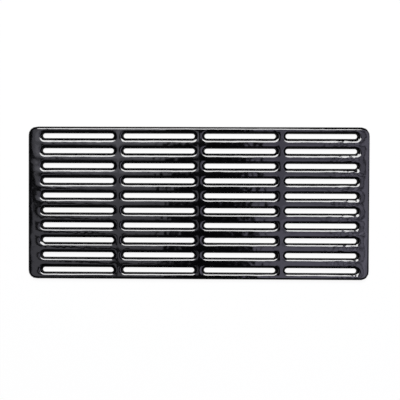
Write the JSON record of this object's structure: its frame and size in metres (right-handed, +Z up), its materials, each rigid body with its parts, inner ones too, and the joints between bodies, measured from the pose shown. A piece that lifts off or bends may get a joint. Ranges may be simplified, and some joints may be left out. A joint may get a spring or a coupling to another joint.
{
  "type": "grill grate",
  "caption": "Flat cast iron grill grate with rounded corners and a grid of long round-ended slots between crowned bars, laid over a firebox to carry food while heat and fat pass through.",
  "frame": {"origin": "middle of the flat underside", "axes": "+X along the slots, +Y across the bars, +Z up out of the cooking face"},
  "size_m": [0.4568, 0.2048, 0.01],
  "materials": {
    "enamelled_iron": "gloss black vitreous enamel over a sand-cast skin"
  },
  "bodies": {
    "root": {"grill_grate": "enamelled_iron"}
  },
  "joints": []
}
